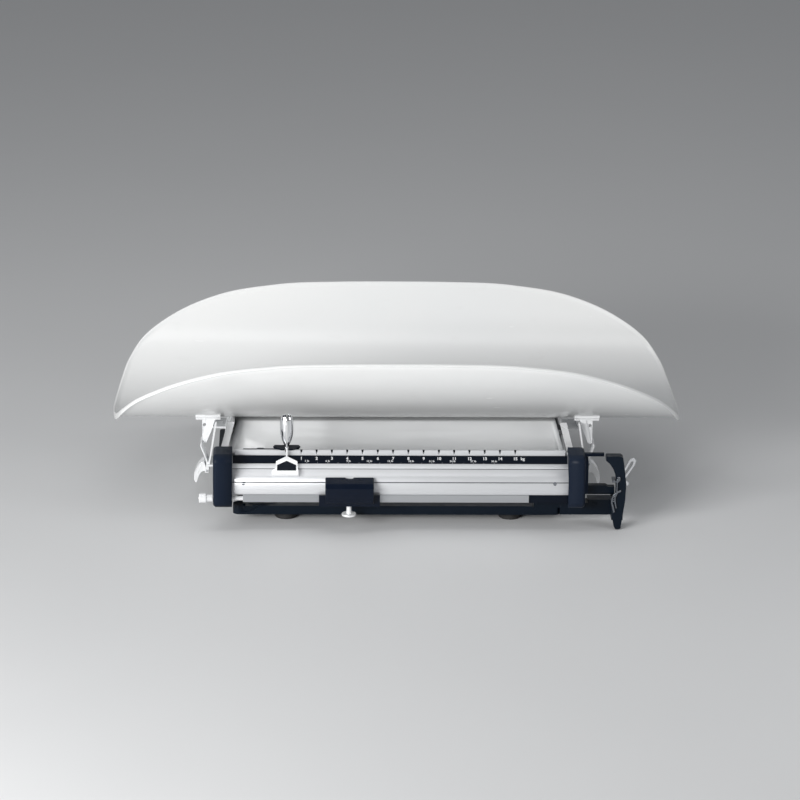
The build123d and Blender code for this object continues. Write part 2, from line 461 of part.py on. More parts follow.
# side brackets with the tray sockets
brackets = {}
for side, sx in (("left", -1), ("right", 1)):
    plate = prism_y([(sx * 158.6, 74.5), (sx * 160.4, 74.5), (sx * 169.6, 38.0), (sx * 167.8, 38.0)], -50, 66)
    plate = plate + prism_y([(sx * 158.6, 74.5), (sx * 165.4, 74.5), (sx * 172.6, 46.0), (sx * 171.6, 44.6), (sx * 166.1, 44.6)], -50, -48.2)
    foot = box(*sorted((sx * 168.0, sx * 186.0)), -72, -45, 36.2, 38.0) + box(*sorted((sx * 168.0, sx * 186.0)), 45, 72, 36.2, 38.0)
    sockets = []
    for ys in (-SIDE_Y, SIDE_Y):
        outer = [(sx * 191.5, 58.4), (sx * 191.6, 56.0), (sx * 189.8, 51.2), (sx * 187.4, 45.4), (sx * 186.2, 41.4), (sx * 185.6, 38.0), (sx * 182.6, 38.0),
                 (sx * 181.2, 45.0), (sx * 178.4, 62.0), (sx * 175.6, 80.0), (sx * 178.0, 80.0), (sx * 184.0, 70.0)]
        inner_ = [(sx * 190.4, 59.4), (sx * 190.5, 56.4), (sx * 188.7, 51.6), (sx * 186.3, 45.8), (sx * 185.0, 41.8), (sx * 184.5, 40.0), (sx * 183.8, 40.0),
                  (sx * 182.6, 45.4), (sx * 179.9, 62.2), (sx * 177.0, 81.0), (sx * 186.0, 90.0)]
        sock = prism_y(outer, ys - 10, ys + 10) - prism_y(inner_, ys - 12, ys + 12)
        sockets.append(sock)
    b = plate - cyl_x(0, TRAY_FLOOR + TRAY_R, TRAY_R + TRAY_T + 1.0, -250, 250) + foot
    for s_ in sockets:
        b = b + (s_ - cyl_x(0, TRAY_FLOOR + TRAY_R, TRAY_R + TRAY_T + 3.0, -250, 250))
    keep("side_bracket_" + side, b)
keep("carrier_saddles", *nodes_saddles)

# clamp levers: curved finger tabs below the sockets
for side, sx in (("left", -1), ("right", 1)):
    tabs = []
    pins = []
    tab = prism_y([(sx * 184.0, 34.2), (sx * 186.5, 35.2), (sx * 187.4, 38.8), (sx * 188.6, 40.8), (sx * 190.4, 39.6), (sx * 193.2, 36.5),
                   (sx * 196.1, 31.5), (sx * 197.8, 26.3), (sx * 197.8, 21.8), (sx * 196.6, 19.2), (sx * 195.2, 19.6), (sx * 194.2, 22.6),
                   (sx * 192.8, 26.8), (sx * 190.6, 30.0), (sx * 187.8, 31.2), (sx * 185.6, 30.0)], -70, -56)
    tab = tab - cyl_y(sx * 185.2, 32.0, 1.3, -80, -40)
    hub = cyl_y(sx * 185.2, 32.0, 2.4, -70, -56) - cyl_y(sx * 185.2, 32.0, 1.3, -80, -40)
    tab = tab + hub
    keep("clamp_lever_" + side, tab)
    pinb = cyl_y(sx * 185.2, 32.0, 1.22, -73.5, -52.5)
    keep("clamp_pin_" + side, pinb)
    lugs = []
    for y0 in (-72.6, -54.9):
        lug = box(*sorted((sx * 183.2, sx * 187.2)), y0, y0 + 1.6, 30.0, 36.2) - cyl_y(sx * 185.2, 32.0, 1.26, -80, -40)
        lugs.append(lug)
    keep("clamp_lugs_" + side, *lugs)

# --------------------------------------------------------------------- tray
pts = []
for a, f in RIM_SHAPE:
    t = math.radians(a)
    pts.append((TRAY_HALF_L * f * math.cos(t), TRAY_HALF_W * f * math.sin(t)))
quarter = [(x + RIM_OUT * min(1.0, x / 40.0), y + RIM_OUT_Y * min(1.0, y / 40.0)) for x, y in pts]
quarter[0] = (TRAY_HALF_L + RIM_OUT, 0)
quarter[-1] = (0, TRAY_HALF_W + RIM_OUT_Y)
right = [(x, -y) for x, y in reversed(quarter)] + quarter[1:]
full = right + [(-x, y) for x, y in reversed(right)][1:-1]
curve = Spline(*full, periodic=True)
plan = make_face(curve)
slab = extrude(Pos(0, 0, 60) * plan, amount=TRAY_TOP - 60, dir=(0, 0, 1))
zc = TRAY_FLOOR + TRAY_R
tray = slab - cyl_x(0, zc, TRAY_R, -400, 400)
tray = tray & cyl_x(0, zc, TRAY_R + TRAY_T, -400, 400)
keep("tray_shell", tray)

hangers, hanger_screws = [], []
for sx in (-1, 1):
    for ys in (-SIDE_Y, SIDE_Y):
        p = prism_y([(sx * 176.6, 84.0), (sx * 189.8, 84.0), (sx * 189.9, 58.4), (sx * 188.9, 57.0), (sx * 186.2, 57.0), (sx * 185.2, 58.4),
                     (sx * 180.8, 70.3)], ys - 1.5, ys + 1.5)
        p = p + prism_y([(sx * 176.6, 84.0), (sx * 182.4, 84.0), (sx * 186.6, 69.0), (sx * 188.0, 59.0), (sx * 185.6, 58.4), (sx * 180.8, 70.3)], ys - 2.7, ys - 1.4)
        p = p - cyl_y(sx * 187.5, 75.6, 1.7, ys - 5, ys + 5)
        p = p + box(*sorted((sx * 172.0, sx * 196.0)), ys - 8, ys + 8, 81.2, 98.0)
        p = p - cyl_x(0, zc, TRAY_R + TRAY_T, -250, 250)
        ring = cyl_x(0, zc, TRAY_R + TRAY_T + 2.2, -250, 250)
        p = p & (ring + box(-200, 200, ys - 2.8, ys + 1.6, 40, 90))
        hangers.append(p)
keep("tray_hangers", *hangers)

for name, shape in nodes.items():
    export_step(shape, "parts/" + name + ".step")
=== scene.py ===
import json
import math

import bmesh
import bpy
from mathutils import Matrix, Vector


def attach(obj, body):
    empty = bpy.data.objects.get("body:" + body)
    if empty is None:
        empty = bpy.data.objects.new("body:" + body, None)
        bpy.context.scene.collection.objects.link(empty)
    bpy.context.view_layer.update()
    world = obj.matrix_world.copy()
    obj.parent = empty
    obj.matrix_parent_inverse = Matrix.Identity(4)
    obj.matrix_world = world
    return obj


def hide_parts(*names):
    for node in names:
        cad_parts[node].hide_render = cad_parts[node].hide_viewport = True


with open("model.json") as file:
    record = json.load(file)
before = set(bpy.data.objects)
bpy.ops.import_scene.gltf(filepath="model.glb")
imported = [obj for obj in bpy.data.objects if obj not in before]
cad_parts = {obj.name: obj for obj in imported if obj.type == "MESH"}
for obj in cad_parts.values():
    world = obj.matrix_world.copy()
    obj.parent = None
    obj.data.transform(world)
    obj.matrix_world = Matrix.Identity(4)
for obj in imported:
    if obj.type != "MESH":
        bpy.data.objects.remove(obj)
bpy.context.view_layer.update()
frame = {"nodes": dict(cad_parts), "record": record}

NODES = frame["nodes"]
MM = 0.001
YS = 11.5                 # tray centre line behind the origin, mm
scene = bpy.context.scene


def v3(x, y, z):
    """A point in millimetres, y measured from the tray's centre line."""
    return Vector((x * MM, (y + YS) * MM, z * MM))


# ------------------------------------------------------------------ camera
e, az, roll = (math.radians(a) for a in (18.182, -1.412, -0.601))
back = Vector((math.sin(az) * math.cos(e), -math.cos(az) * math.cos(e), math.sin(e)))
target = v3(3.619, 0.0, 81.178)
right = (-back).cross(Vector((0, 0, 1))).normalized()
up = right.cross(-back)
cr, sr = math.cos(roll), math.sin(roll)
cx = right * cr - up * sr
cy = right * sr + up * cr
cam = bpy.data.cameras.new("camera")
cam.lens = 36 * 4055.4 / 800
cam.sensor_width = 36
cam.clip_end = 50
cam_obj = bpy.data.objects.new("camera", cam)
scene.collection.objects.link(cam_obj)
loc = target + back * 4.0
cam_obj.matrix_world = Matrix(((cx.x, cy.x, back.x, loc.x), (cx.y, cy.y, back.y, loc.y), (cx.z, cy.z, back.z, loc.z), (0, 0, 0, 1)))
scene.camera = cam_obj
scene.view_settings.view_transform = "Standard"
scene.view_settings.look = "None"

# ------------------------------------------------------------------- world
world = bpy.data.worlds.new("studio")
scene.world = world
world.use_nodes = True
wn = world.node_tree
wn.nodes["Background"].inputs["Color"].default_value = (0.80, 0.82, 0.85, 1)
wn.nodes["Background"].inputs["Strength"].default_value = 0.25


def area_light(name, where, aim, sx, sy, power, colour=(1, 1, 1)):
    light = bpy.data.lights.new(name, "AREA")
    light.shape = "RECTANGLE"
    light.size, light.size_y = sx, sy
    light.energy = power
    light.color = colour
    o = bpy.data.objects.new(name, light)
    scene.collection.objects.link(o)
    o.location = where
    o.rotation_euler = (Vector(aim) - Vector(where)).to_track_quat("-Z", "Y").to_euler()
    return o


area_light("key_left", (-1.25, -1.58, 0.60), (-0.08, -0.09, 0.10), 1.2, 0.50, 42, (1.0, 0.997, 0.99))
area_light("kick_right", (1.05, -0.70, 0.40), (0.20, -0.08, 0.09), 0.4, 0.3, 2.3, (1.0, 1.0, 1.0))
area_light("strip_over", (0.05, -0.22, 1.75), (0, 0.06, 0.1), 2.6, 0.26, 4.2, (1.0, 1.0, 1.0))
area_light("top_soft", (-0.20, 0.30, 2.1), (0, 0.0, 0.1), 2.2, 1.2, 2.5, (1.0, 1.0, 1.0))

# ------------------------------------------------------------------- floor
fm = bpy.data.meshes.new("floor")
fm.from_pydata([(-9, -9, 0), (9, -9, 0), (9, 9, 0), (-9, 9, 0)], [], [(0, 1, 2, 3)])
floor = bpy.data.objects.new("floor", fm)
scene.collection.objects.link(floor)


# --------------------------------------------------------------- materials
class Mat:
    """A node material on a Principled shader, built up from small layers in object space."""

    def __init__(self, name, colour, rough, metallic=0.0, coat=0.0, coat_rough=0.03, spec=0.5):
        self.m = bpy.data.materials.new(name)
        self.m.use_nodes = True
        self.t = self.m.node_tree
        self.b = self.t.nodes["Principled BSDF"]
        self.b.inputs["Base Color"].default_value = (*colour, 1)
        self.b.inputs["Roughness"].default_value = rough
        self.b.inputs["Metallic"].default_value = metallic
        self.b.inputs["Coat Weight"].default_value = coat
        self.b.inputs["Coat Roughness"].default_value = coat_rough
        self.b.inputs["Specular IOR Level"].default_value = spec
        self.m.diffuse_color = (*colour, 1)
        self.co = self.t.nodes.new("ShaderNodeTexCoord").outputs["Object"]
        self.colour = None
        self.base = (*colour, 1)
        self.normal = None

    def n(self, kind, **inputs):
        node = self.t.nodes.new(kind)
        for k, v in inputs.items():
            key = k.replace("_", " ")
            if isinstance(v, bpy.types.NodeSocket):
                self.t.links.new(v, node.inputs[key])
            else:
                node.inputs[key].default_value = v
        return node

    def noise(self, scale, detail=3.0, stretch=(1, 1, 1), rough=0.55, offset=(0, 0, 0)):
        mp = self.n("ShaderNodeMapping", Vector=self.co)
        mp.inputs["Scale"].default_value = stretch
        mp.inputs["Location"].default_value = offset
        return self.n("ShaderNodeTexNoise", Vector=mp.outputs[0], Scale=scale, Detail=detail, Roughness=rough).outputs["Fac"]

    def remap(self, fac, lo, hi, a, b):
        r = self.n("ShaderNodeMapRange", Value=fac)
        r.inputs["From Min"].default_value = lo
        r.inputs["From Max"].default_value = hi
        r.inputs["To Min"].default_value = a
        r.inputs["To Max"].default_value = b
        return r.outputs["Result"]

    def tint(self, fac, colour):
        """Mixes colour over what is there by the factor socket."""
        mix = self.t.nodes.new("ShaderNodeMix")
        mix.data_type = "RGBA"
        self.t.links.new(fac, mix.inputs["Factor"])
        if self.colour is None:
            mix.inputs["A"].default_value = self.base
        else:
            self.t.links.new(self.colour, mix.inputs["A"])
        mix.inputs["B"].default_value = (*colour, 1)
        self.colour = mix.outputs["Result"]
        self.t.links.new(self.colour, self.b.inputs["Base Color"])
        return self

    def rough(self, fac, lo, hi, a, b):
        self.t.links.new(self.remap(fac, lo, hi, a, b), self.b.inputs["Roughness"])
        return self

    def bump(self, fac, strength, distance):
        bp = self.n("ShaderNodeBump", Height=fac, Strength=strength, Distance=distance)
        if self.normal is not None:
            self.t.links.new(self.normal, bp.inputs["Normal"])
        self.normal = bp.outputs["Normal"]
        self.t.links.new(self.normal, self.b.inputs["Normal"])
        return self

    def worn(self, colour, lo=0.53, hi=0.60, amount=0.6, scale=220):
        """Rubbed edges: where the surface is convex, broken up by noise."""
        geo = self.t.nodes.new("ShaderNodeNewGeometry")
        edge = self.remap(geo.outputs["Pointiness"], lo, hi, 0, 1)
        spots = self.remap(self.noise(scale, 4), 0.42, 0.66, 0, amount)
        mul = self.t.nodes.new("ShaderNodeMath")
        mul.operation = "MULTIPLY"
        self.t.links.new(edge, mul.inputs[0])
        self.t.links.new(spots, mul.inputs[1])
        return self.tint(mul.outputs[0], colour)


def make_materials():
    M = {}
    # moulded gloss white: cool and warm drifts, fine orange peel, faint wiping marks
    a = Mat("tray_white", (0.800, 0.805, 0.800), 0.24, coat=0.30, coat_rough=0.12)
    a.tint(a.remap(a.noise(5, 2), 0.35, 0.7, 0, 0.6), (0.770, 0.785, 0.790))
    a.tint(a.remap(a.noise(38, 5, (1, 3, 1)), 0.62, 0.80, 0, 0.30), (0.715, 0.72, 0.71))
    a.rough(a.noise(22, 3, (1, 4, 4)), 0.3, 0.75, 0.21, 0.28)
    a.bump(a.noise(420, 2), 0.035, 0.0004)
    a.bump(a.noise(14, 2), 0.02, 0.002)
    a.worn((0.62, 0.62, 0.61), 0.55, 0.62, 0.35, 300)
    M["tray_white"] = a.m
    # black enamel over pressed steel
    a = Mat("base_black", (0.0028, 0.0068, 0.0135), 0.32, coat=0.04, coat_rough=0.12, spec=0.14)
    a.tint(a.remap(a.noise(45, 4), 0.5, 0.75, 0, 0.5), (0.0045, 0.0090, 0.0165))
    a.rough(a.noise(60, 5), 0.3, 0.7, 0.27, 0.38)
    a.bump(a.noise(520, 2), 0.05, 0.0003)
    M["base_black"] = a.m
    # satin silver enamel of the housing
    a = Mat("cover_silver", (0.70, 0.71, 0.715), 0.36, metallic=0.25, coat=0.10, coat_rough=0.2)
    a.tint(a.remap(a.noise(9, 3), 0.35, 0.7, 0, 0.6), (0.65, 0.66, 0.67))
    a.tint(a.remap(a.noise(260, 4, (0.06, 1, 1)), 0.45, 0.7, 0, 0.35), (0.71, 0.72, 0.72))
    a.rough(a.noise(180, 4, (0.08, 1, 1)), 0.3, 0.7, 0.30, 0.44)
    a.bump(a.noise(900, 2, (0.05, 1, 1)), 0.05, 0.0003)
    M["cover_silver"] = a.m
    # drawn and anodised aluminium, die lines along X
    a = Mat("beam_aluminium", (0.69, 0.70, 0.72), 0.38, metallic=0.40)
    a.tint(a.remap(a.noise(150, 4, (0.02, 1, 1)), 0.40, 0.72, 0, 0.35), (0.65, 0.66, 0.675))
    a.tint(a.remap(a.noise(14, 3), 0.55, 0.78, 0, 0.30), (0.64, 0.645, 0.65))
    a.rough(a.noise(420, 4, (0.015, 1, 1)), 0.3, 0.72, 0.34, 0.44)
    a.bump(a.noise(1100, 2, (0.012, 1, 1)), 0.03, 0.0002)
    M["beam_aluminium"] = a.m
    # dark slate plastic
    a = Mat("cap_slate", (0.0092, 0.0145, 0.0270), 0.36, spec=0.08)
    a.tint(a.remap(a.noise(30, 4), 0.4, 0.75, 0, 0.5), (0.0115, 0.0172, 0.0300))
    a.rough(a.noise(90, 4), 0.3, 0.7, 0.31, 0.42)
    a.bump(a.noise(760, 3), 0.10, 0.0003)
    M["cap_slate"] = a.m
    # printed black strip and black mouldings
    a = Mat("scale_black", (0.0034, 0.0058, 0.0115), 0.36, spec=0.12)
    a.tint(a.remap(a.noise(60, 4), 0.45, 0.75, 0, 0.5), (0.0060, 0.0085, 0.0145))
    a.rough(a.noise(120, 5, (0.2, 1, 1)), 0.3, 0.7, 0.31, 0.42)
    a.bump(a.noise(880, 2), 0.04, 0.0002)
    M["scale_black"] = a.m
    # polished chrome with faint finger marks
    a = Mat("chrome", (0.86, 0.87, 0.89), 0.10, metallic=1.0)
    a.tint(a.remap(a.noise(40, 4), 0.5, 0.75, 0, 0.4), (0.77, 0.78, 0.80))
    a.rough(a.noise(130, 4), 0.35, 0.72, 0.07, 0.18)
    a.bump(a.noise(260, 2), 0.012, 0.0002)
    M["chrome"] = a.m
    # the same plating, tumbled to a satin: brackets, clamp levers, screw heads and the pointer
    a = Mat("satin_plate", (0.89, 0.90, 0.91), 0.28, metallic=0.28)
    a.tint(a.remap(a.noise(30, 3), 0.40, 0.70, 0, 0.4), (0.83, 0.84, 0.855))
    a.rough(a.noise(30, 2), 0.35, 0.72, 0.25, 0.31)
    a.bump(a.noise(120, 2), 0.006, 0.0002)
    M["satin_plate"] = a.m
    # rail under the beam: mill finish, a shade darker than the extrusion
    a = Mat("rail_aluminium", (0.50, 0.515, 0.535), 0.34, metallic=0.80)
    a.tint(a.remap(a.noise(150, 4, (0.02, 1, 1)), 0.40, 0.72, 0, 0.5), (0.45, 0.465, 0.485))
    a.tint(a.remap(a.noise(6, 2, (1, 0.2, 0.2)), 0.30, 0.70, 0, 0.4), (0.54, 0.55, 0.57))
    a.rough(a.noise(420, 4, (0.015, 1, 1)), 0.3, 0.72, 0.28, 0.40)
    a.bump(a.noise(1100, 2, (0.012, 1, 1)), 0.04, 0.0002)
    M["rail_aluminium"] = a.m
    # painted shade for the bottoms of the grooves
    a = Mat("groove_painted_shade", (0.085, 0.090, 0.100), 0.55, spec=0.2)
    a.tint(a.remap(a.noise(60, 3, (0.1, 1, 1)), 0.40, 0.70, 0, 0.6), (0.16, 0.165, 0.175))
    a.rough(a.noise(90, 3), 0.3, 0.7, 0.48, 0.62)
    a.bump(a.noise(400, 2), 0.03, 0.0002)
    M["groove_painted_shade"] = a.m
    # darkened spring steel of the index plate
    a = Mat("spring_steel", (0.20, 0.215, 0.24), 0.30, metallic=0.9)
    a.tint(a.remap(a.noise(40, 3), 0.40, 0.70, 0, 0.5), (0.14, 0.152, 0.175))
    a.rough(a.noise(90, 3), 0.35, 0.72, 0.24, 0.38)
    a.bump(a.noise(340, 2), 0.03, 0.0002)
    M["spring_steel"] = a.m
    # ground steel of the works
    a = Mat("steel", (0.50, 0.51, 0.52), 0.34, metallic=1.0)
    a.tint(a.remap(a.noise(55, 5), 0.42, 0.72, 0, 0.7), (0.36, 0.37, 0.385))
    a.rough(a.noise(240, 4, (0.1, 1, 1)), 0.3, 0.7, 0.26, 0.48)
    a.bump(a.noise(700, 3, (0.1, 1, 1)), 0.10, 0.0003)
    M["steel"] = a.m
    a = Mat("knife_steel", (0.36, 0.37, 0.39), 0.24, metallic=1.0)
    a.tint(a.remap(a.noise(80, 5), 0.42, 0.72, 0, 0.7), (0.27, 0.265, 0.27))
    a.rough(a.noise(300, 4, (1, 0.1, 1)), 0.3, 0.7, 0.17, 0.36)
    a.bump(a.noise(900, 3, (1, 0.08, 1)), 0.10, 0.0003)
    M["knife_steel"] = a.m
    # gloss black moulding of the fine poise
    a = Mat("poise_black", (0.0026, 0.0058, 0.0145), 0.15, coat=0.16, coat_rough=0.04, spec=0.14)
    a.tint(a.remap(a.noise(60, 4), 0.45, 0.75, 0, 0.5), (0.0055, 0.0090, 0.0185))
    a.rough(a.noise(140, 4), 0.35, 0.72, 0.13, 0.22)
    a.bump(a.noise(640, 2), 0.03, 0.0002)
    M["poise_black"] = a.m
    a = Mat("rubber", (0.016, 0.016, 0.017), 0.72, spec=0.35)
    a.tint(a.remap(a.noise(70, 5), 0.45, 0.75, 0, 0.8), (0.040, 0.039, 0.038))
    a.rough(a.noise(160, 4), 0.3, 0.7, 0.62, 0.86)
    a.bump(a.noise(620, 4), 0.25, 0.0005)
    M["rubber"] = a.m
    a = Mat("zinc", (0.022, 0.024, 0.029), 0.5, spec=0.5)
    a.tint(a.remap(a.noise(90, 5), 0.45, 0.72, 0, 0.8), (0.045, 0.047, 0.052))
    a.rough(a.noise(180, 4), 0.3, 0.7, 0.42, 0.62)
    a.bump(a.noise(420, 4), 0.22, 0.0006)
    M["zinc"] = a.m
    # white printing ink
    a = Mat("ink_white", (0.66, 0.67, 0.69), 0.42)
    a.tint(a.remap(a.noise(900, 3), 0.5, 0.75, 0, 0.6), (0.52, 0.53, 0.55))
    a.rough(a.noise(500, 2), 0.3, 0.7, 0.36, 0.52)
    a.bump(a.noise(1500, 2), 0.05, 0.0002)
    M["ink_white"] = a.m
    # pale studio floor
    a = Mat("floor_pale", (0.74, 0.745, 0.75), 0.60, spec=0.2)
    a.tint(a.remap(a.noise(2.2, 3), 0.3, 0.75, 0, 0.5), (0.72, 0.727, 0.735))
    a.rough(a.noise(6, 4), 0.3, 0.7, 0.48, 0.62)
    a.bump(a.noise(160, 3), 0.02, 0.0005)
    M["floor_pale"] = a.m
    return M


M = make_materials()
floor.data.materials.append(M["floor_pale"])


# ------------------------------------------------------------ mesh helpers
def finish_mesh(name, bm, body, material, smooth=True, nodes=()):
    me = bpy.data.meshes.new(name)
    bm.normal_update()
    bm.to_mesh(me)
    bm.free()
    if smooth:
        me.shade_smooth()
    me.materials.append(M[material])
    o = bpy.data.objects.new(name, me)
    scene.collection.objects.link(o)
    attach(o, body)
    if nodes:
        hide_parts(*nodes)
    return o


def dress(node, material, width=0.4, segments=2, angle=32, clamp=True):
    """Material and rounded edges for a node that keeps its own mesh."""
    o = NODES[node]
    me = o.data
    me.materials.clear()
    me.materials.append(M[material])
    cn = me.attributes.get("custom_normal")
    if cn is not None:
        me.attributes.remove(cn)
    me.shade_smooth()
    w = o.modifiers.new("weld", "WELD")
    w.merge_threshold = 2e-6
    if width:
        b = o.modifiers.new("round", "BEVEL")
        b.width = width * MM
        b.segments = segments
        b.limit_method = "ANGLE"
        b.angle_limit = math.radians(angle)
        b.harden_normals = True
        b.use_clamp_overlap = clamp
        b.miter_outer = "MITER_ARC"
    return o


def rounded(points, radii, steps=6):
    """Closed outline with arcs at its corners. points are (a, b) pairs, radii one for each."""
    out = []
    n = len(points)
    for i in range(n):
        p = Vector(points[i])
        a, b = Vector(points[i - 1]) - p, Vector(points[(i + 1) % n]) - p
        r = radii[i] if isinstance(radii, (list, tuple)) else radii
        la, lb = a.length, b.length
        a.normalize()
        b.normalize()
        ang = a.angle(b)
        if r <= 0 or abs(ang - math.pi) < 1e-3:
            out.append(tuple(p))
            continue
        cut = min(r / math.tan(ang / 2), 0.49 * la, 0.49 * lb)
        r = cut * math.tan(ang / 2)
        c = p + (a + b).normalized() * (r / math.sin(ang / 2))
        s = p + a * cut - c
        t = p + b * cut - c
        sweep = s.angle(t)
        sign = 1 if s.x * t.y - s.y * t.x > 0 else -1
        for k in range(steps + 1):
            th = sign * sweep * k / steps
            q = Vector((s.x * math.cos(th) - s.y * math.sin(th), s.x * math.sin(th) + s.y * math.cos(th)))
            out.append(tuple(c + q))
    return out


def loft_rings(bm, rings, closed=True, cap_start=True, cap_end=True):
    """Quads between successive rings of points (Vectors, metres)."""
    rows = [[bm.verts.new(p) for p in ring] for ring in rings]
    n = len(rows[0])
    for r0, r1 in zip(rows, rows[1:]):
        for i in range(n if closed else n - 1):
            j = (i + 1) % n
            bm.faces.new((r0[i], r0[j], r1[j], r1[i]))
    if cap_start:
        bm.faces.new(rows[0][::-1])
    if cap_end:
        bm.faces.new(rows[-1])
    return rows


def bar_x(name, outline, x0, x1, body, material, edge=0.5, hole=None, nodes=(), steps=3, sections=()):
    """Extrusion along X of a (y, z) outline in mm with softened end edges, and an optional hollow."""
    bm = bmesh.new()
    cyy = sum(p[0] for p in outline) / len(outline)
    czz = sum(p[1] for p in outline) / len(outline)

    def ring(x, inset):
        pts = []
        n = len(outline)
        for i, (y, z) in enumerate(outline):
            if inset:
                a = Vector(outline[i - 1])
                b = Vector(outline[(i + 1) % n])
                t = (b - a).normalized()
                nrm = Vector((-t.y, t.x))
                if (nrm.x * (cyy - y) + nrm.y * (czz - z)) < 0:
                    nrm = -nrm
                y, z = y + nrm.x * inset, z + nrm.y * inset
            pts.append(v3(x, y, z))
        return pts

    rings = []
    for k in range(steps + 1):
        a = math.pi / 2 * k / steps
        rings.append(ring(x0 + edge * (1 - math.cos(a)), edge * (1 - math.sin(a))))
    for xs in sections:
        rings.append(ring(xs, 0))
    for k in range(steps, -1, -1):
        a = math.pi / 2 * k / steps
        rings.append(ring(x1 - edge * (1 - math.cos(a)), edge * (1 - math.sin(a))))
    if hole is None:
        loft_rings(bm, rings)
    else:
        rows = loft_rings(bm, rings, cap_start=False, cap_end=False)
        inner = loft_rings(bm, [[v3(x, y, z) for y, z in hole] for x in (x0, x1)], cap_start=False, cap_end=False)
        for outer_row, inner_row in ((rows[0], inner[0]), (rows[-1], inner[1])):
            edges = []
            for row in (outer_row, inner_row):
                for i in range(len(row)):
                    edges.append(bm.edges.get((row[i], row[(i + 1) % len(row)])))
            bmesh.ops.triangle_fill(bm, use_beauty=True, edges=edges)
    bmesh.ops.recalc_face_normals(bm, faces=bm.faces)
    return finish_mesh(name, bm, body, material, nodes=nodes)


def harden(o, angle=35):
    """Flat faces stay flat: sharp edges by angle, no bevel."""
    me = o.data
    bm = bmesh.new()
    bm.from_mesh(me)
    for ed in bm.edges:
        if len(ed.link_faces) == 2 and ed.calc_face_angle() > math.radians(angle):
            ed.smooth = False
    bm.to_mesh(me)
    bm.free()
    return o


# -------------------------------------------------------------------- tray
L, W, R, T = 275.6, 136.6, 151.0, 2.6
FLOOR_Z = 74.36
ZC = FLOOR_Z + R
SHAPE = [(-16, 1.030), (-8, 1.007), (0, 1.0), (8, 1.007), (16, 1.030), (24, 1.072), (32, 1.130), (40, 1.180), (48, 1.183),
         (56, 1.149), (66, 1.082), (78, 1.021), (90, 1.0), (102, 1.021), (114, 1.082)]


def rim_factor(deg):
    q = deg % 360
    q = q if q <= 90 else (180 - q if q <= 180 else (q - 180 if q <= 270 else 360 - q))
    for i in range(1, len(SHAPE) - 2):
        a0, f0 = SHAPE[i]
        a1, f1 = SHAPE[i + 1]
        if a0 <= q <= a1:
            am, fm_ = SHAPE[i - 1]
            ap, fp = SHAPE[i + 2]
            t = (q - a0) / (a1 - a0)
            m0 = (f1 - fm_) / (a1 - am) * (a1 - a0)
            m1 = (fp - f0) / (ap - a0) * (a1 - a0)
            return ((2 * t**3 - 3 * t**2 + 1) * f0 + (t**3 - 2 * t**2 + t) * m0 + (-2 * t**3 + 3 * t**2) * f1 + (t**3 - t**2) * m1)
    return 1.0


def on_trough(x, u, n):
    """Point over the trough's inner face: u is the arc length across it, n the height towards its axis."""
    ph = u / R
    r = R - n
    return v3(x, r * math.sin(ph), ZC - r * math.cos(ph))


